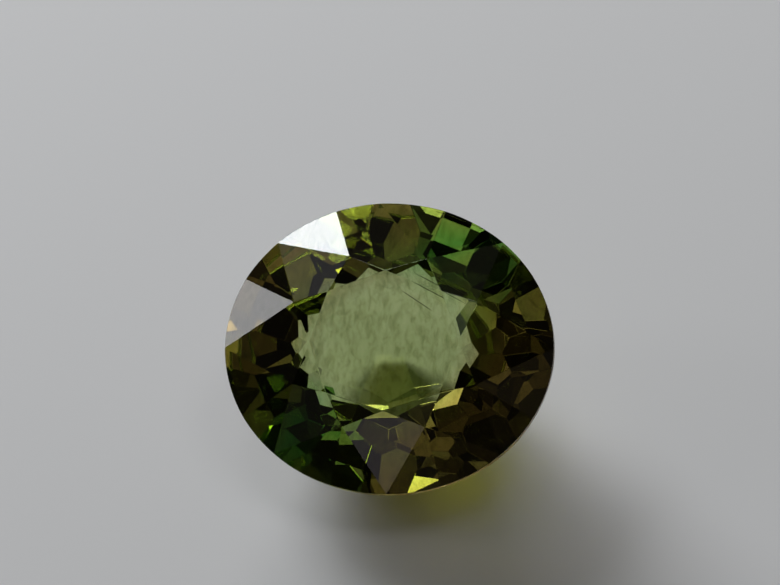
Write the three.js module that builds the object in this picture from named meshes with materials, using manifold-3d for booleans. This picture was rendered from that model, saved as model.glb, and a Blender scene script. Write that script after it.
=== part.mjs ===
// A green tourmaline, cut and polished as an oval brilliant and lying loose on its side.
// Units are millimetres. While it is cut, the stone stands with its table up, its girdle's upper edge
// at height 0 and its long axis along X. It is then laid over on one of its lowest facets.

import * as THREE from "three";
import { mergeVertices } from "three/addons/utils/BufferGeometryUtils.js";
import Module from "manifold-3d";

const wasm = await Module();
wasm.setup();

// Driving dimensions
const LENGTH = 8.0;
const WIDTH = 7.1;
const TABLE_HEIGHT = 1.1;
const STAR_TIP_HEIGHT = 0.89;
const GIRDLE_THICKNESS = 0.24;

// The outline is a circle squeezed across its width. A facet's place is its angle on that circle, in
// degrees from the right-hand end.
const SQUEEZE = WIDTH / LENGTH;
const RADIUS = LENGTH / 2;
const OUTLINE_STEPS = 72;

// The eight crown mains, counted from the right-hand end. Their slopes are those of a round stone before
// it is squeezed. The one at the far side was cut by hand a little off its place: its foot stands too far
// round, and it faces a few degrees the other way.
const CROWN_MAINS = [
  { place: 0, slope: 26.5, turn: 0 },
  { place: 46.5, slope: 28.2, turn: 0 },
  { place: 93.7, slope: 28.5, turn: -6 },
  { place: 133.5, slope: 28.2, turn: 0 },
  { place: 180, slope: 26.5, turn: 0 },
  { place: 226.5, slope: 28.2, turn: 0 },
  { place: 270, slope: 27.3, turn: 0 },
  { place: 313.5, slope: 28.2, turn: 0 },
];

// Directions, seen from above, of the table's eight corners and of the points halfway along the girdle
// between two mains, where a pair of upper halves meets.
const TABLE_CORNERS = [0, 42, 90, 138, 180, 222, 270, 318];
const HALF_MEETS = [28.5, 70.5, 109.5, 151.5, 208.5, 250.5, 289.5, 331.5];

// The pavilion's rows from the girdle down. A row has the same slope all the way round. It starts at its
// inset from the girdle, and its first facet is offset from the right-hand end by that part of a facet's
// width. The two lowest rows are flat enough to see through, which makes the stone's pale window, and
// they were cut a little off the middle.
const PAVILION_ROWS = [
  { facets: 8, offset: 0.5, slope: 43.0, inset: 0, offMiddle: 0 },
  { facets: 16, offset: 0, slope: 39.0, inset: 1.0, offMiddle: 0 },
  { facets: 16, offset: 0.5, slope: 31.5, inset: 1.9, offMiddle: -0.08 },
  { facets: 8, offset: 0, slope: 22.85, inset: 2.45, offMiddle: -0.08 },
];
const RESTING_PLACE = 270;

const CUTTING_LAP_SIZE = 24;
const BLANK_DEPTH = 4;

const UP = new THREE.Vector3(0, 0, 1);
const DOWN = new THREE.Vector3(0, 0, -1);
const radians = THREE.MathUtils.degToRad;

// A point on the squeezed circle of the given radius.
function ovalPoint(place, radius, height) {
  const angle = radians(place);
  return new THREE.Vector3(radius * Math.cos(angle), radius * SQUEEZE * Math.sin(angle), height);
}

// The way out from the squeezed circle at a place.
function outwards(place) {
  const angle = radians(place);
  return new THREE.Vector3(Math.cos(angle), Math.sin(angle) / SQUEEZE, 0).normalize();
}

// The plane of a crown main, through its foot on the girdle. It faces up and outwards, turned from its
// place by the given degrees.
function mainPlane({ place, slope, turn }) {
  const angle = radians(place + turn);
  const rise = Math.tan(radians(slope));
  const normal = new THREE.Vector3(rise * Math.cos(angle), (rise * Math.sin(angle)) / SQUEEZE, 1);
  return new THREE.Plane().setFromNormalAndCoplanarPoint(
    normal.normalize(),
    ovalPoint(place, RADIUS, 0),
  );
}

// The plane of a pavilion facet, at the height where its row starts. It faces down and outwards.
function pavilionPlane(place, { slope, inset, offMiddle }, height) {
  const outward = outwards(place);
  const start = ovalPoint(place, RADIUS, height).addScaledVector(outward, -inset);
  start.x += offMiddle;
  const normal = outward.multiplyScalar(Math.sin(radians(slope)));
  normal.addScaledVector(DOWN, Math.cos(radians(slope)));
  return new THREE.Plane().setFromNormalAndCoplanarPoint(normal, start);
}

// The plane through three corners, facing up.
function planeThrough(a, b, c) {
  const plane = new THREE.Plane().setFromCoplanarPoints(a, b, c);
  return plane.normal.z > 0 ? plane : plane.negate();
}

// The point where three planes cross.
function meetingPoint(a, b, c) {
  const rows = new THREE.Matrix3().set(
    ...a.normal.toArray(),
    ...b.normal.toArray(),
    ...c.normal.toArray(),
  );
  return new THREE.Vector3(-a.constant, -b.constant, -c.constant).applyMatrix3(rows.invert());
}

function levelPlane(height) {
  return new THREE.Plane(UP.clone(), -height);
}

function uprightPlane(direction) {
  const angle = radians(direction);
  return new THREE.Plane(new THREE.Vector3(-Math.sin(angle), Math.cos(angle), 0), 0);
}

// The crown: eight kite-shaped mains, eight stars round the table and sixteen upper halves.
function crownPlanes() {
  const mains = CROWN_MAINS.map(mainPlane);
  const corners = mains.map((main, k) =>
    meetingPoint(main, levelPlane(TABLE_HEIGHT), uprightPlane(TABLE_CORNERS[k])),
  );
  const planes = [...mains];
  mains.forEach((main, k) => {
    const next = (k + 1) % mains.length;
    const starTip = meetingPoint(main, mains[next], levelPlane(STAR_TIP_HEIGHT));
    const halfMeet = ovalPoint(HALF_MEETS[k], RADIUS, 0);
    planes.push(planeThrough(starTip, corners[k], corners[next]));
    for (const neighbour of [k, next]) {
      const mainFoot = ovalPoint(CROWN_MAINS[neighbour].place, RADIUS, 0);
      planes.push(planeThrough(starTip, mainFoot, halfMeet));
    }
  });
  return planes;
}

// The pavilion: rows of facets that flatten towards the bottom.
function pavilionPlanes() {
  const planes = [];
  let height = -GIRDLE_THICKNESS;
  PAVILION_ROWS.forEach((row, index) => {
    for (let k = 0; k < row.facets; k += 1) {
      planes.push(pavilionPlane(((k + row.offset) * 360) / row.facets, row, height));
    }
    const below = PAVILION_ROWS[index + 1];
    if (below) {
      height -= Math.tan(radians(row.slope)) * (below.inset - row.inset);
    }
  });
  return planes;
}

function solidFrom(geometry) {
  const bare = geometry.clone();
  bare.deleteAttribute("normal");
  bare.deleteAttribute("uv");
  const merged = mergeVertices(bare);
  return new wasm.Manifold(
    new wasm.Mesh({
      numProp: 3,
      vertProperties: new Float32Array(merged.attributes.position.array),
      triVerts: new Uint32Array(merged.index.array),
    }),
  );
}

function geometryFrom(solid) {
  const mesh = solid.getMesh();
  const geometry = new THREE.BufferGeometry();
  geometry.setAttribute("position", new THREE.BufferAttribute(mesh.vertProperties, 3));
  geometry.setIndex(new THREE.BufferAttribute(mesh.triVerts, 1));
  const flat = geometry.toNonIndexed();
  flat.computeVertexNormals();
  return flat;
}

// The oval blank that the facets are cut on: its upright side stays as the girdle, and its top is the
// table.
function blank() {
  const outline = new THREE.Shape();
  outline.absellipse(0, 0, RADIUS, RADIUS * SQUEEZE, 0, 2 * Math.PI);
  const geometry = new THREE.ExtrudeGeometry(outline, {
    depth: BLANK_DEPTH + TABLE_HEIGHT,
    bevelEnabled: false,
    curveSegments: OUTLINE_STEPS,
  });
  return solidFrom(geometry.translate(0, 0, -BLANK_DEPTH));
}

// The block of material that a flat lap takes off in front of a facet's plane.
function waste(plane) {
  const block = new THREE.BoxGeometry(CUTTING_LAP_SIZE, CUTTING_LAP_SIZE, CUTTING_LAP_SIZE);
  block.translate(0, 0, CUTTING_LAP_SIZE / 2);
  block.applyQuaternion(new THREE.Quaternion().setFromUnitVectors(UP, plane.normal));
  block.translate(...plane.normal.clone().multiplyScalar(-plane.constant).toArray());
  return solidFrom(block);
}

function cutStone() {
  const planes = [...crownPlanes(), ...pavilionPlanes()];
  return planes.reduce((stone, plane) => stone.subtract(waste(plane)), blank());
}

const tourmaline = new THREE.Mesh(
  geometryFrom(cutStone()),
  new THREE.MeshStandardMaterial({
    color: 0x5e6b35,
    roughness: 0.03,
    metalness: 0,
    transparent: true,
    opacity: 0.6,
  }),
);
tourmaline.name = "tourmaline";

// The stone lies on the lowest row's facet at the near side, and its box is centred over the origin.
const restingFacet = pavilionPlane(RESTING_PLACE, PAVILION_ROWS.at(-1), 0);
tourmaline.quaternion.setFromUnitVectors(restingFacet.normal, DOWN);
const box = new THREE.Box3().setFromObject(tourmaline, true);
const middle = box.getCenter(new THREE.Vector3());
tourmaline.position.set(-middle.x, -middle.y, -box.min.z);

const stone = new THREE.Group();
stone.add(tourmaline);

export default stone;
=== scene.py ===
# %% [markdown]
# # A green tourmaline, cut as an oval brilliant
# The subject is one loose gemstone, eight millimetres long. A imported CAD solid already says where it
# lies, how big it is and how far it leans. This script gives the stone its looks: clean flat facets with
# polished edges, a see-through green body, a ground girdle and two fine needles inside.
# It starts by loading that solid, and takes the stone's length from the solid's box.

# %% Load the fixed frame
import math

import bpy
from mathutils import Matrix, Vector


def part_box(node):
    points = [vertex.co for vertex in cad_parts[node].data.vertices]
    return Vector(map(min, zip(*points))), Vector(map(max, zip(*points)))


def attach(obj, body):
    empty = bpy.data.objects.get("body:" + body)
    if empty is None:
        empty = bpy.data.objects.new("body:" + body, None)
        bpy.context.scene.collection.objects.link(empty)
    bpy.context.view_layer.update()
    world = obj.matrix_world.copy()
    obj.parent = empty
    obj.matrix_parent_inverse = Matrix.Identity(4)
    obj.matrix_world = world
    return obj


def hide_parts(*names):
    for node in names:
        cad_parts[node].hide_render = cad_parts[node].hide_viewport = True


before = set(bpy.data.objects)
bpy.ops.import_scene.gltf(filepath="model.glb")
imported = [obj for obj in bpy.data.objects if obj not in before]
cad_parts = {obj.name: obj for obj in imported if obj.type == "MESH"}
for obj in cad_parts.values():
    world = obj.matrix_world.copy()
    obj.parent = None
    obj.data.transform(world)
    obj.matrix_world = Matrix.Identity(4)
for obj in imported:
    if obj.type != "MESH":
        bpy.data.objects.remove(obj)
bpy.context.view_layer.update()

MM = 0.001

# %% [markdown]
# ## The sizes of the cut
# A cutter thinks of an oval brilliant's crown as a round one that was squeezed across its width. So each
# crown facet is first given as on a round stone: its place around the girdle, its slope from the
# girdle's plane, and a turn for a facet that was cut a little off. The pavilion below is cut in rows. A
# row keeps one slope all the way round and starts at its inset from the girdle, and the two lowest rows
# were cut a little off the middle. The length comes from the CAD solid. The slopes are the solid's own,
# because a gem's look depends on them to half a degree: they decide which light falls through the
# bottom and which is thrown back.

# %% Driving sizes, in millimetres and degrees
stone_low, stone_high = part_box("tourmaline")
LENGTH = (stone_high.x - stone_low.x) / MM
SQUEEZE = 7.1 / 8.0
RADIUS = LENGTH / 2
TABLE_HEIGHT = 1.1
STAR_TIP_HEIGHT = 0.89
GIRDLE_THICKNESS = 0.24
GIRDLE_SIDES = 144
BLANK_DEPTH = 4.0
RESTING_PLACE = 270

CROWN_MAINS = [
    {"place": 0, "slope": 26.5, "turn": 0},
    {"place": 46.5, "slope": 28.2, "turn": 0},
    {"place": 93.7, "slope": 28.5, "turn": -6},
    {"place": 133.5, "slope": 28.2, "turn": 0},
    {"place": 180, "slope": 26.5, "turn": 0},
    {"place": 226.5, "slope": 28.2, "turn": 0},
    {"place": 270, "slope": 27.3, "turn": 0},
    {"place": 313.5, "slope": 28.2, "turn": 0},
]
TABLE_CORNERS = [0, 42, 90, 138, 180, 222, 270, 318]
HALF_MEETS = [28.5, 70.5, 109.5, 151.5, 208.5, 250.5, 289.5, 331.5]
PAVILION_ROWS = [
    {"facets": 8, "offset": 0.5, "slope": 43.0, "inset": 0, "off_middle": 0},
    {"facets": 16, "offset": 0, "slope": 39.0, "inset": 1.0, "off_middle": 0},
    {"facets": 16, "offset": 0.5, "slope": 31.5, "inset": 1.9, "off_middle": -0.08},
    {"facets": 8, "offset": 0, "slope": 22.85, "inset": 2.45, "off_middle": -0.08},
]
print("length", round(LENGTH, 3), "width", round(LENGTH * SQUEEZE, 3))

# %% [markdown]
# ## Where the facets' planes lie
# A facet is a plane: a point on it and a direction that it faces. The crown's mains and the pavilion's
# facets are found from their place round the oval. The stars and the upper halves of the crown are
# different: a cutter finds them by their corners, where they meet the facets that are already there. So
# those planes are worked out from three corners.


# %% Planes and corners
def oval_point(place, radius, height):
    angle = math.radians(place)
    return Vector((radius * math.cos(angle), radius * SQUEEZE * math.sin(angle), height))


def outwards(place):
    angle = math.radians(place)
    return Vector((math.cos(angle), math.sin(angle) / SQUEEZE, 0)).normalized()


def main_plane(main):
    """A point on a crown main and the direction it faces: up and outwards."""
    angle = math.radians(main["place"] + main["turn"])
    rise = math.tan(math.radians(main["slope"]))
    facing = Vector((rise * math.cos(angle), rise * math.sin(angle) / SQUEEZE, 1))
    return oval_point(main["place"], RADIUS, 0), facing.normalized()


def pavilion_plane(place, row, height):
    """A point where the facet's row starts and the direction it faces: down and outwards."""
    slope = math.radians(row["slope"])
    outward = outwards(place)
    start = oval_point(place, RADIUS, height) - outward * row["inset"]
    start.x += row["off_middle"]
    return start, outward * math.sin(slope) - Vector((0, 0, math.cos(slope)))


def plane_through(a, b, c):
    facing = (b - a).cross(c - a).normalized()
    return a, facing if facing.z > 0 else -facing


def meeting_point(*planes):
    rows = Matrix([facing for point, facing in planes])
    return rows.inverted() @ Vector([point.dot(facing) for point, facing in planes])


def level_plane(height):
    return Vector((0, 0, height)), Vector((0, 0, 1))


def upright_plane(direction):
    angle = math.radians(direction)
    return Vector((0, 0, 0)), Vector((-math.sin(angle), math.cos(angle), 0))


print("the oval's right-hand end:", [round(side, 3) for side in oval_point(0, RADIUS, 0)])

# %% [markdown]
# ## The crown
# The crown is all that stands above the girdle. Its eight mains run up from the girdle to the table, and
# the table's corners lie on them. Between two mains, a star leans against the table's edge and a pair of
# upper halves fills the space down to the girdle. The planes are worked out in that order, because each
# kind needs the corners of the kind before it.

# %% The crown's planes
mains = [main_plane(main) for main in CROWN_MAINS]
corners = [
    meeting_point(main, level_plane(TABLE_HEIGHT), upright_plane(direction))
    for main, direction in zip(mains, TABLE_CORNERS)
]
crown_planes = list(mains)
for k, main in enumerate(mains):
    following = (k + 1) % len(mains)
    star_tip = meeting_point(main, mains[following], level_plane(STAR_TIP_HEIGHT))
    half_meet = oval_point(HALF_MEETS[k], RADIUS, 0)
    crown_planes.append(plane_through(star_tip, corners[k], corners[following]))
    for neighbour in (k, following):
        main_foot = oval_point(CROWN_MAINS[neighbour]["place"], RADIUS, 0)
        crown_planes.append(plane_through(star_tip, main_foot, half_meet))
print("crown facets under the table:", len(crown_planes))

# %% [markdown]
# ## The pavilion
# The pavilion is all that lies below the girdle. Its rows are worked out from the girdle down. A row
# starts at the depth that the row above it has reached by its inset, so only slopes and insets have to be
# chosen, and the depth follows from them.

# %% The pavilion's planes
pavilion_planes = []
row_height = -GIRDLE_THICKNESS
for row, below in zip(PAVILION_ROWS, PAVILION_ROWS[1:] + [None]):
    for k in range(row["facets"]):
        place = (k + row["offset"]) * 360 / row["facets"]
        pavilion_planes.append(pavilion_plane(place, row, row_height))
    if below:
        row_height -= math.tan(math.radians(row["slope"])) * (below["inset"] - row["inset"])
print("pavilion facets:", len(pavilion_planes))

# %% [markdown]
# ## Cutting the stone
# The real stone was ground on a flat lap, one facet after another, from a rough oval blank. The same can
# be done here. The blank is a cylinder squeezed to the oval, and each facet is a bisect that clears what
# stands in front of the plane and fills the cut with one flat face. That keeps every facet truly flat,
# which a gem needs: a bend too small to see in paint would smear all that is seen through glass.
# The work is done in millimetres, at a thousand times the final scale, because the operators' own small
# tolerances are meant for objects of that size.


# %% The oval blank
def only_selected(piece):
    bpy.ops.object.select_all(action="DESELECT")
    piece.select_set(True)
    bpy.context.view_layer.objects.active = piece


bpy.ops.object.select_all(action="DESELECT")
bpy.ops.mesh.primitive_cylinder_add(
    vertices=GIRDLE_SIDES,
    radius=RADIUS,
    depth=BLANK_DEPTH + TABLE_HEIGHT,
    location=(0, 0, (TABLE_HEIGHT - BLANK_DEPTH) / 2),
)
stone = bpy.context.active_object
stone.name = "tourmaline_cut"
bpy.ops.object.transform_apply(location=True, rotation=True, scale=True)
bpy.ops.object.mode_set(mode="EDIT")
bpy.ops.mesh.select_all(action="SELECT")
bpy.ops.transform.resize(value=(1, SQUEEZE, 1))
bpy.ops.object.mode_set(mode="OBJECT")
print("blank:", [round(side, 3) for side in stone.dimensions])

# %% [markdown]
# ## One cut for each facet
# Every plane clears what stands in front of it, as the lap does, and the blank's upright side is left as
# the girdle. Where several facets meet in nearly one point, the cuts leave edges of a few thousandths of a
# millimetre. They are merged, because the next step can't round an edge as short as that.

# %% Grind the facets
CUT_TOLERANCE = 0.00001
SMALLEST_GAP = 0.004
SMALLEST_EDGE = 0.002

bpy.ops.object.mode_set(mode="EDIT")
for point, facing in crown_planes + pavilion_planes:
    bpy.ops.mesh.select_all(action="SELECT")
    bpy.ops.mesh.bisect(
        plane_co=point,
        plane_no=facing,
        use_fill=True,
        clear_outer=True,
        threshold=CUT_TOLERANCE,
    )
bpy.ops.mesh.select_all(action="SELECT")
bpy.ops.mesh.remove_doubles(threshold=SMALLEST_GAP)
bpy.ops.mesh.dissolve_degenerate(threshold=SMALLEST_EDGE)
bpy.ops.mesh.normals_make_consistent(inside=False)
bpy.ops.object.mode_set(mode="OBJECT")
print("faces after cutting:", len(stone.data.polygons), "height", round(stone.dimensions.z, 3))

# %% [markdown]
# ## Polished edges
# No facet edge is a perfect knife edge. Polishing leaves a rounding of a few hundredths of a millimetre,
# and it shows as a thin light or dark line between two facets. A bevel over the real edges makes it. The
# girdle's many small sides are left out by their angle, because together they stand for one curve.

# %% Round the facet edges
SHARPEST_GIRDLE_BEND = 4.0
EDGE_ROUNDING = 0.020
ROUNDING_STEPS = 2

bpy.ops.object.mode_set(mode="EDIT")
bpy.ops.mesh.select_all(action="DESELECT")
bpy.ops.mesh.select_mode(type="EDGE")
bpy.ops.mesh.edges_select_sharp(sharpness=math.radians(SHARPEST_GIRDLE_BEND))
bpy.ops.mesh.bevel(offset=EDGE_ROUNDING, segments=ROUNDING_STEPS, affect="EDGES", clamp_overlap=True)
bpy.ops.mesh.select_mode(type="VERT")
bpy.ops.object.mode_set(mode="OBJECT")
print("faces after rounding:", len(stone.data.polygons))

# %% [markdown]
# ## Marking the girdle
# The girdle is ground, not polished, so it needs its own finish. Its faces are the ones that stand
# upright while the stone is still level. They are marked now, in an attribute of the mesh that the
# material can read later, once the stone has been laid down.

# %% Mark the girdle's faces
UPRIGHT = 0.2

girdle_mark = stone.data.attributes.new("girdle", "FLOAT", "FACE")
for face in stone.data.polygons:
    girdle_mark.data[face.index].value = 1.0 if abs(face.normal.z) < UPRIGHT else 0.0
print("girdle faces:", sum(1 for mark in girdle_mark.data if mark.value))

# %% [markdown]
# ## Laying the stone down
# A loose brilliant can't stand upright: it falls over on one of its flat pavilion facets. Here it lies on
# the near facet of the lowest row, so it leans by that facet's own slope, and its box is centred over the
# origin with its lowest facet on the floor. The turn, the move and the change back to metres are applied,
# so the finished object sits at the origin and its place is in its mesh.

# %% Lean, scale and lay down
down = Vector((0, 0, -1))
lean = pavilion_plane(RESTING_PLACE, PAVILION_ROWS[-1], 0)[1].rotation_difference(down)

leaned = [lean @ vertex.co for vertex in stone.data.vertices]
middle_y = (min(p.y for p in leaned) + max(p.y for p in leaned)) / 2
lowest_z = min(p.z for p in leaned)
rest = Matrix.Scale(MM, 4) @ Matrix.Translation((0, -middle_y, -lowest_z)) @ lean.to_matrix().to_4x4()
stone.matrix_world = rest
only_selected(stone)
bpy.ops.object.transform_apply(location=True, rotation=True, scale=True)
print("lean in degrees:", round(math.degrees(lean.angle), 2))

# %% [markdown]
# ## The crystal
# Tourmaline bends light more than window glass, with an index near 1.63, and its green comes from deep
# inside: each millimetre takes away much of the blue, some of the red and little of the green. That is
# absorption, and it explains the stone's look. The short way straight down through the middle is pale,
# and the long ways that are thrown back and forth near the rim are dark. The amount is a plain number for
# each colour, because the whole crystal is one substance.

# %% The clear green body
CRYSTAL_INDEX = 1.63
LOST_PER_MM = {"red": 0.125, "green": 0.092, "blue": 0.245}
STRONGEST_LOSS = 0.3


def add_node(tree, kind, **settings):
    node = tree.nodes.new(kind)
    for name, value in settings.items():
        setattr(node, name, value)
    return node


crystal = bpy.data.materials.new("green tourmaline")
crystal.use_nodes = True
tree = crystal.node_tree
shader = tree.nodes["Principled BSDF"]
shader.inputs["Transmission Weight"].default_value = 1.0
shader.inputs["IOR"].default_value = CRYSTAL_INDEX
kept_colour = [1 - loss / STRONGEST_LOSS for loss in LOST_PER_MM.values()]
body = add_node(tree, "ShaderNodeVolumeAbsorption")
body.inputs["Color"].default_value = (*kept_colour, 1)
body.inputs["Density"].default_value = STRONGEST_LOSS / MM
tree.links.new(body.outputs["Volume"], tree.nodes["Material Output"].inputs["Volume"])
stone.data.materials.clear()
stone.data.materials.append(crystal)
print("passed by 4 mm:", {name: round(math.exp(-4 * loss), 2) for name, loss in LOST_PER_MM.items()})

# %% [markdown]
# ## The colour zones
# A tourmaline crystal changes colour while it grows, so a cut stone often has straight bands in it. This
# one has a green band from its near left to its far right, olive beside it and brown beyond. Light takes
# the colour of the places where it enters and leaves, so the bands tint the surface. They follow the
# stone's own axes: the coordinates are first turned back to how the stone stood while it was cut. A
# little noise keeps the borders from being ruled lines.

# %% Straight bands across the stone
BAND_DIRECTION = -42.0
BAND_REACH = 3.6 * MM
BAND_WAVES = 1.6 * MM
WAVES_PER_METRE = 420
WAVE_DETAIL = 1.0
BANDS = [
    (0.00, (0.93, 0.56, 0.45, 1)),
    (0.20, (0.97, 0.66, 0.40, 1)),
    (0.35, (0.88, 0.94, 0.56, 1)),
    (0.46, (0.20, 1.00, 0.52, 1)),
    (0.58, (0.92, 0.90, 0.52, 1)),
    (0.76, (1.00, 0.50, 0.40, 1)),
    (1.00, (0.95, 0.38, 0.44, 1)),
]


def add_range(tree, source, low, high):
    """How far the source has come from low to high, as a number from 0 to 1."""
    node = add_node(tree, "ShaderNodeMapRange")
    node.inputs["From Min"].default_value = low
    node.inputs["From Max"].default_value = high
    tree.links.new(source, node.inputs["Value"])
    return node.outputs["Result"]


def add_ramp(tree, source, stops):
    """The source as a colour, read between the stops. A stop is a position and its colour."""
    ramp = add_node(tree, "ShaderNodeValToRGB")
    for position, _ in stops[1:-1]:
        ramp.color_ramp.elements.new(position)
    for element, (position, colour) in zip(ramp.color_ramp.elements, stops):
        element.position = position
        element.color = colour
    tree.links.new(source, ramp.inputs["Fac"])
    return ramp.outputs["Color"]


cut_from_rest = rest.inverted()
stone_coordinates = add_node(tree, "ShaderNodeTexCoord")
upright = add_node(tree, "ShaderNodeMapping", vector_type="POINT")
upright.inputs["Rotation"].default_value = cut_from_rest.to_euler()
upright.inputs["Location"].default_value = cut_from_rest.to_translation() * MM
tree.links.new(stone_coordinates.outputs["Object"], upright.inputs["Vector"])

across = add_node(tree, "ShaderNodeVectorMath", operation="DOT_PRODUCT")
band_angle = math.radians(BAND_DIRECTION)
across.inputs[1].default_value = (math.cos(band_angle), math.sin(band_angle), 0)
tree.links.new(upright.outputs["Vector"], across.inputs[0])

waves = add_node(tree, "ShaderNodeTexNoise")
waves.inputs["Scale"].default_value = WAVES_PER_METRE
waves.inputs["Detail"].default_value = WAVE_DETAIL
tree.links.new(upright.outputs["Vector"], waves.inputs["Vector"])
shifted = add_node(tree, "ShaderNodeMath", operation="MULTIPLY_ADD")
shifted.inputs[1].default_value = BAND_WAVES
tree.links.new(waves.outputs["Fac"], shifted.inputs[0])
tree.links.new(across.outputs["Value"], shifted.inputs[2])

middle = BAND_WAVES / 2
bands_passed = add_range(tree, shifted.outputs["Value"], middle - BAND_REACH, middle + BAND_REACH)
banded = add_ramp(tree, bands_passed, BANDS)
print("bands:", len(BANDS), "turned back by", round(math.degrees(cut_from_rest.to_euler().x), 2), "degrees")

# %% [markdown]
# ## An even core
# The bands show near the rim, where light runs back and forth through the stone. The middle looks evenly
# pale. So the bands fade out towards the stone's upright axis. The distance from that axis is measured
# on the squeezed oval, as the facets' places are, and it mixes the core's one colour with the bands.

# %% An even core
CORE_COLOUR = (0.86, 0.90, 0.74, 1)
CORE_RADIUS = 1.7 * MM
RIM_RADIUS = 2.7 * MM


def feed(tree, source, socket):
    """Link a node's output to the socket, or set the socket to a plain value."""
    if isinstance(source, bpy.types.NodeSocket):
        tree.links.new(source, socket)
    else:
        socket.default_value = source


def add_mix(tree, factor, first, second, blend="MIX"):
    """Two colours mixed. A Mix node has like-named sockets for other types, so these go by number."""
    first_colour, second_colour, mixed_colour = 6, 7, 2
    node = add_node(tree, "ShaderNodeMix", data_type="RGBA", blend_type=blend)
    feed(tree, factor, node.inputs["Factor"])
    feed(tree, first, node.inputs[first_colour])
    feed(tree, second, node.inputs[second_colour])
    return node.outputs[mixed_colour]


unsqueezed = add_node(tree, "ShaderNodeVectorMath", operation="MULTIPLY")
unsqueezed.inputs[1].default_value = (1, 1 / SQUEEZE, 0)
tree.links.new(upright.outputs["Vector"], unsqueezed.inputs[0])
from_axis = add_node(tree, "ShaderNodeVectorMath", operation="LENGTH")
tree.links.new(unsqueezed.outputs["Vector"], from_axis.inputs[0])
outside_core = add_range(tree, from_axis.outputs["Value"], CORE_RADIUS, RIM_RADIUS)
cored = add_mix(tree, outside_core, CORE_COLOUR, banded)
print("even inside", round(CORE_RADIUS / MM, 2), "mm, banded outside", round(RIM_RADIUS / MM, 2), "mm")

# %% [markdown]
# ## A brown and yellow skin under the girdle
# The light that falls through the stone's right edge onto the floor is yellow, and under the near edge
# hardly any comes through, though the face looks green. Light thrown back by the facets passes only the
# crown's surface. Light that goes on to the floor crosses the pavilion's surface as well. So a tint on
# the pavilion under the girdle, brown on the left and yellow on the right, colours the light on the
# floor and leaves the face as it is.

# %% A brown and yellow skin under the girdle
YELLOW_SKIN = (0.95, 0.70, 0.07, 1)
BROWN_SKIN = (0.22, 0.16, 0.06, 1)
YELLOW_STARTS = 0.5 * MM
YELLOW_FULL = 1.4 * MM
SKIN_STARTS = -0.15 * MM
SKIN_FULL = -0.60 * MM

along_axes = add_node(tree, "ShaderNodeSeparateXYZ")
tree.links.new(upright.outputs["Vector"], along_axes.inputs["Vector"])
lower_down = add_range(tree, along_axes.outputs["Z"], SKIN_STARTS, SKIN_FULL)
under_girdle = add_node(tree, "ShaderNodeMath", operation="MULTIPLY")
tree.links.new(lower_down, under_girdle.inputs[0])
tree.links.new(outside_core, under_girdle.inputs[1])
rightwards = add_range(tree, along_axes.outputs["X"], YELLOW_STARTS, YELLOW_FULL)
skin_colour = add_mix(tree, rightwards, BROWN_SKIN, YELLOW_SKIN)
skinned = add_mix(tree, under_girdle.outputs["Value"], cored, skin_colour)
print("skin starts", -round(SKIN_STARTS / MM, 2), "mm and is full", -round(SKIN_FULL / MM, 2), "mm down")

# %% [markdown]
# ## Fine streaks
# The window looks faintly brushed: the lap leaves fine lines, and fine tubes grow along the crystal. A
# noise makes them. Its coordinates are pressed together more across the streaks than along them, which
# draws the noise out into short strokes. It is multiplied over the colours made so far.

# %% Fine streaks
STREAKS_ALONG = 3000
STREAKS_ACROSS = 6500
STREAK_DETAIL = 4.0
STREAK_WAVINESS = 0.6
STREAK_SHADES = [
    (0.34, (0.58, 0.60, 0.48, 1)),
    (0.50, (0.88, 0.90, 0.80, 1)),
    (0.66, (1.00, 1.00, 0.98, 1)),
]

stretched = add_node(tree, "ShaderNodeMapping", vector_type="POINT")
stretched.inputs["Rotation"].default_value = (0, 0, band_angle)
stretched.inputs["Scale"].default_value = (STREAKS_ACROSS, STREAKS_ALONG, STREAKS_ALONG)
tree.links.new(upright.outputs["Vector"], stretched.inputs["Vector"])
fine = add_node(tree, "ShaderNodeTexNoise")
fine.inputs["Scale"].default_value = 1.0
fine.inputs["Detail"].default_value = STREAK_DETAIL
fine.inputs["Distortion"].default_value = STREAK_WAVINESS
tree.links.new(stretched.outputs["Vector"], fine.inputs["Vector"])
streaked = add_ramp(tree, fine.outputs["Fac"], STREAK_SHADES)
surface_colour = add_mix(tree, 1.0, skinned, streaked, blend="MULTIPLY")
tree.links.new(surface_colour, shader.inputs["Base Color"])
print("streaks about", round(1 / STREAKS_ACROSS / MM, 2), "mm apart")

# %% [markdown]
# ## Polished facets, ground girdle
# The facets are polished until they mirror. The girdle is left as the grinding wheel left it, so it is
# dull and shows as a soft pale line round the stone. One roughness value for each is enough, and the mark
# on the girdle's faces decides between them.

# %% Two finishes
POLISHED = 0.0
GROUND = 0.42

mark = add_node(tree, "ShaderNodeAttribute", attribute_name="girdle")
finish = add_node(tree, "ShaderNodeMapRange")
finish.inputs["To Min"].default_value = POLISHED
finish.inputs["To Max"].default_value = GROUND
tree.links.new(mark.outputs["Fac"], finish.inputs["Value"])
tree.links.new(finish.outputs["Result"], shader.inputs["Roughness"])

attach(stone, "root")
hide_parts("tourmaline")
print("materials on the stone:", [material.name for material in stone.data.materials])

# %% [markdown]
# ## Needles inside
# Two thin dark needles lie under the table, as they do in many tourmalines: long crystals or channels that
# grew with the stone. Each could be a painted line, but a line on the surface would stay there when the
# view moves. So each is a real thread inside the stone: a thin cylinder, cut into short lengths and drawn
# out to a point at both ends. They are placed as the stone stood for cutting and laid down with it.

# %% Two thin threads
NEEDLES = [
    (Vector((0.30, 1.40, -0.60)), Vector((1.05, 0.90, -0.62))),
    (Vector((0.55, 1.62, -0.55)), Vector((1.70, 1.02, -0.60))),
]
NEEDLE_THICKNESS = 0.018
NEEDLE_SIDES = 8
NEEDLE_CUTS = 5
NEEDLE_TIP = 0.25
TIP_STARTS = 0.45

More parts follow.
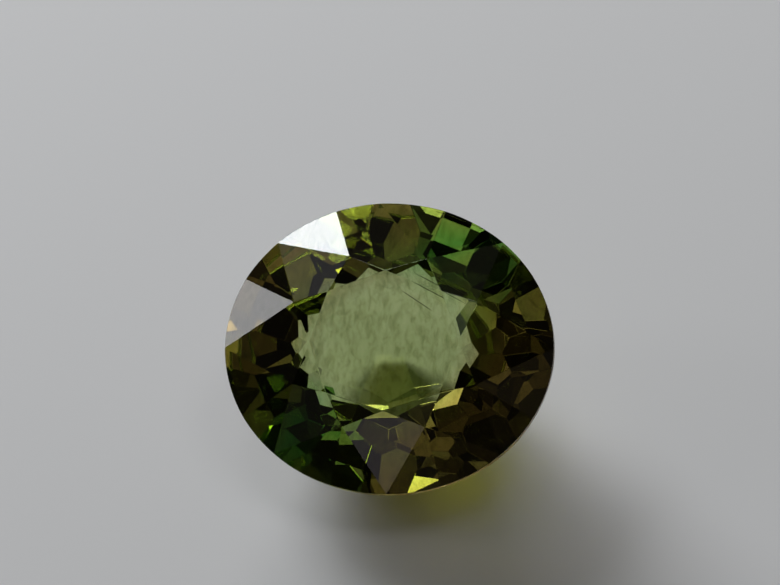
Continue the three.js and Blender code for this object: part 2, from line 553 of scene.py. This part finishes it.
threads = []
for start, end in NEEDLES:
    length = (end - start).length
    bpy.ops.object.select_all(action="DESELECT")
    bpy.ops.mesh.primitive_cylinder_add(
        vertices=NEEDLE_SIDES,
        radius=NEEDLE_THICKNESS / 2,
        depth=length,
    )
    thread = bpy.context.active_object
    bpy.ops.object.mode_set(mode="EDIT")
    bpy.ops.mesh.select_mode(type="EDGE")
    bpy.ops.mesh.select_all(action="DESELECT")
    bpy.ops.object.mode_set(mode="OBJECT")
    for edge in thread.data.edges:
        low, high = (thread.data.vertices[corner].co.z for corner in edge.vertices)
        edge.select = abs(low - high) > length / 2
    bpy.ops.object.mode_set(mode="EDIT")
    bpy.ops.mesh.subdivide(number_cuts=NEEDLE_CUTS)
    bpy.ops.mesh.select_mode(type="VERT")
    bpy.ops.mesh.select_all(action="DESELECT")
    bpy.ops.object.mode_set(mode="OBJECT")
    for vertex in thread.data.vertices:
        vertex.select = abs(vertex.co.z) > TIP_STARTS * length
    bpy.ops.object.mode_set(mode="EDIT")
    bpy.ops.transform.resize(value=(NEEDLE_TIP, NEEDLE_TIP, 1))
    bpy.ops.object.mode_set(mode="OBJECT")
    along = (end - start).to_track_quat("Z", "Y").to_matrix().to_4x4()
    thread.matrix_world = rest @ Matrix.Translation((start + end) / 2) @ along
    only_selected(thread)
    bpy.ops.object.transform_apply(location=True, rotation=True, scale=True)
    threads.append(thread)
only_selected(threads[0])
for thread in threads[1:]:
    thread.select_set(True)
bpy.ops.object.join()
needles = bpy.context.active_object
needles.name = "needles"
print("needles:", len(NEEDLES), "faces:", len(needles.data.polygons))

# %% [markdown]
# ## The needles' finish
# Against the pale window a needle looks nearly black. A flat black would look drawn on, so a fine noise
# paints it a little paler in places, as painted glints of light in the tube, and a dull finish keeps it
# from shining.

# %% The needles' dark finish
DARKEST = (0.010, 0.012, 0.006, 1)
PALEST = (0.050, 0.056, 0.028, 1)
GLINTS_PER_METRE = 2600
NEEDLE_ROUGHNESS = 0.6

dark = bpy.data.materials.new("dark needle")
dark.use_nodes = True
needle_tree = dark.node_tree
needle_coordinates = add_node(needle_tree, "ShaderNodeTexCoord")
# The noise paints painted glints: paler spots on the dark needles, up to the palest colour.
painted_glints = add_node(needle_tree, "ShaderNodeTexNoise")
painted_glints.inputs["Scale"].default_value = GLINTS_PER_METRE
needle_tree.links.new(needle_coordinates.outputs["Object"], painted_glints.inputs["Vector"])
needle_colour = add_ramp(needle_tree, painted_glints.outputs["Fac"], [(0.0, DARKEST), (1.0, PALEST)])
needle_shader = needle_tree.nodes["Principled BSDF"]
needle_tree.links.new(needle_colour, needle_shader.inputs["Base Color"])
needle_shader.inputs["Roughness"].default_value = NEEDLE_ROUGHNESS
needles.data.materials.append(dark)
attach(needles, "root")
print("material on the needles:", dark.name)

# %% [markdown]
# ## The floor
# The stone lies on a plain pale floor, because a clear gem shows whatever is under it. The floor stands a
# hair's breadth below the stone, so that the two surfaces never share a place and light can pass between
# them.

# %% Floor
FLOOR_GAP = 0.06 * MM
FLOOR_SIZE = 1.2
FLOOR_COLOUR = (0.69, 0.685, 0.69, 1)
FLOOR_ROUGHNESS = 0.75

bpy.ops.object.select_all(action="DESELECT")
bpy.ops.mesh.primitive_plane_add(size=FLOOR_SIZE, location=(0, 0, -FLOOR_GAP))
floor = bpy.context.active_object
floor.name = "floor"
paint = bpy.data.materials.new("pale floor")
paint.use_nodes = True
floor_shader = paint.node_tree.nodes["Principled BSDF"]
floor_shader.inputs["Base Color"].default_value = FLOOR_COLOUR
floor_shader.inputs["Roughness"].default_value = FLOOR_ROUGHNESS
floor.data.materials.append(paint)
print("floor", FLOOR_SIZE, "m wide,", round(FLOOR_GAP / MM, 2), "mm under the stone")

# %% [markdown]
# ## The light
# The light comes from behind the stone on the left. One bright soft panel shows as the white facet and a
# weaker one beside it as the grey facet. A wide low panel lights the floor and gives the stone its
# shadow. Two panels overhead shine through the middle of the stone and light the floor that is seen
# through the window. A panel is given by its direction and by how wide it looks from the stone, because
# that is what decides which facets mirror it.

# %% Lights
PANEL_DISTANCE = 0.25


def direction(azimuth, elevation):
    """The way from the stone to a light. Azimuth 0 is the near side, 90 the right."""
    a, e = math.radians(azimuth), math.radians(elevation)
    return Vector((math.sin(a) * math.cos(e), -math.cos(a) * math.cos(e), math.sin(e)))


def add_panel(name, azimuth, elevation, width, height, brightness, colour):
    """A soft panel that faces the stone. Width and height are in degrees, as the stone sees them."""
    way = direction(azimuth, elevation)
    bpy.ops.object.light_add(type="AREA", location=way * PANEL_DISTANCE)
    panel = bpy.context.active_object
    panel.name = name
    panel.data.shape = "RECTANGLE"
    panel.data.size = 2 * PANEL_DISTANCE * math.tan(math.radians(width / 2))
    panel.data.size_y = 2 * PANEL_DISTANCE * math.tan(math.radians(height / 2))
    panel.data.energy = brightness * math.pi * panel.data.size * panel.data.size_y
    panel.data.color = colour
    panel.rotation_mode = "QUATERNION"
    panel.rotation_quaternion = way.to_track_quat("Z", "Y")


WHITE = (1, 1, 1)
SKY_WHITE = (0.92, 0.96, 1.0)

# Each panel: name, azimuth, elevation, width, height, brightness, colour.
PANELS = [
    ("bright_panel", -147, 21, 22, 26, 13.4, SKY_WHITE),
    ("low_panel", -160, 18, 48, 11, 14, WHITE),
    ("side_panel", -103, 25, 10, 10, 3.9, WHITE),
    ("left_overhead_panel", -170, 61, 14, 24, 1.4, WHITE),
    ("right_overhead_panel", 133, 64, 16, 20, 1.6, WHITE),
]
for panel_values in PANELS:
    add_panel(*panel_values)
print("panels:", len(PANELS))

# %% [markdown]
# ## Small glows
# A cut stone gathers light from a few small parts of what is around it. Each of these faint panels stands
# where the paths of one patch of facets end, and wakes that patch: the green at the far right, the olive
# at the top, the kite on the left. The two hazes are mirrored by a near facet and by the kite, and lie
# over what is seen in them. The two flashes are small and bright and give the yellow sparks.

# %% Glows
YELLOW_WHITE = (0.80, 1.0, 0.35)
PINK_WHITE = (1.0, 0.90, 0.98)
GREEN_WHITE = (0.74, 1.0, 0.82)
GLOWS = [
    ("glow_over_right", 75, 61, 18, 14, 0.28, GREEN_WHITE),
    ("glow_over_near", -7, 62, 12, 10, 0.11, WHITE),
    ("glow_straight_up", -28, 82, 10, 10, 0.42, WHITE),
    ("glow_near_left", -44, 38, 14, 8, 0.11, WHITE),
    ("glow_high_left", -60, 73, 10, 10, 0.12, WHITE),
    ("glow_high_right", 33, 74, 9, 9, 0.17, WHITE),
    ("glow_behind_left", -130, 19, 5, 8, 1.6, WHITE),
    ("haze_from_near", -6, 15, 14, 8, 0.34, PINK_WHITE),
    ("haze_from_behind", -132, 37, 5, 5, 0.34, WHITE),
    ("flash_behind", -152, 51, 2, 2, 4.5, YELLOW_WHITE),
    ("flash_near", 22, 61, 2.5, 2.5, 3.5, YELLOW_WHITE),
]
for glow_values in GLOWS:
    add_panel(*glow_values)
print("glows:", len(GLOWS))

# %% [markdown]
# ## The room
# A gem shows its surroundings a hundred times over, each facet a different piece of them. In an evenly
# bright room it would be flat and grey. So the room is dark with soft brighter patches, and the facets
# come out as a mosaic of dark and light ones. Light is followed for many bounces, because it is thrown
# about inside the stone before it leaves.

# %% The room around
ROOM_PATCHES = 2.3
ROOM_DETAIL = 1.0
ROOM_BRIGHTNESS = 0.20
MOST_BOUNCES = 32
ROOM_SHADES = [
    (0.42, (0.006, 0.005, 0.005, 1)),
    (0.50, (0.026, 0.022, 0.018, 1)),
    (0.56, (0.090, 0.078, 0.058, 1)),
    (0.66, (0.300, 0.280, 0.230, 1)),
]

scene = bpy.context.scene
room = bpy.data.worlds.new("dim room")
room.use_nodes = True
surroundings = room.node_tree
room_directions = add_node(surroundings, "ShaderNodeTexCoord")
patches = add_node(surroundings, "ShaderNodeTexNoise")
patches.inputs["Scale"].default_value = ROOM_PATCHES
patches.inputs["Detail"].default_value = ROOM_DETAIL
surroundings.links.new(room_directions.outputs["Generated"], patches.inputs["Vector"])
room_colour = add_ramp(surroundings, patches.outputs["Fac"], ROOM_SHADES)
background = surroundings.nodes["Background"]
surroundings.links.new(room_colour, background.inputs["Color"])
background.inputs["Strength"].default_value = ROOM_BRIGHTNESS
scene.world = room
scene.view_settings.view_transform = "Standard"
scene.cycles.max_bounces = MOST_BOUNCES
scene.cycles.glossy_bounces = MOST_BOUNCES
scene.cycles.transmission_bounces = MOST_BOUNCES
print("room shades:", len(ROOM_SHADES))

# %% [markdown]
# ## The camera
# The photograph was taken close, from above on the near side, with the picture a little turned. A long
# lens keeps the stone's outline free of distortion.

# %% Camera
VIEW_AZIMUTH, VIEW_ELEVATION, VIEW_ROLL = 11.7, 58.2, 10.0
VIEW_DISTANCE = 110 * MM
AIM_RIGHT, AIM_UP = 0.034 * MM, 1.343 * MM
LENS = 210
NEAREST_SEEN = 10 * MM

camera = bpy.data.objects.new("camera", bpy.data.cameras.new("camera"))
scene.collection.objects.link(camera)
camera.data.lens = LENS
camera.data.clip_start = NEAREST_SEEN
turn = Matrix.Rotation(math.radians(VIEW_AZIMUTH), 4, "Z")
turn @= Matrix.Rotation(math.radians(90 - VIEW_ELEVATION), 4, "X")
turn @= Matrix.Rotation(math.radians(-VIEW_ROLL), 4, "Z")
stone_centre = rest.to_translation()
aim = stone_centre + turn.to_3x3() @ Vector((AIM_RIGHT, AIM_UP, 0))
camera.matrix_world = Matrix.Translation(aim + turn.to_3x3() @ Vector((0, 0, VIEW_DISTANCE))) @ turn
scene.camera = camera
print("camera at mm:", [round(side / MM, 1) for side in camera.matrix_world.to_translation()])
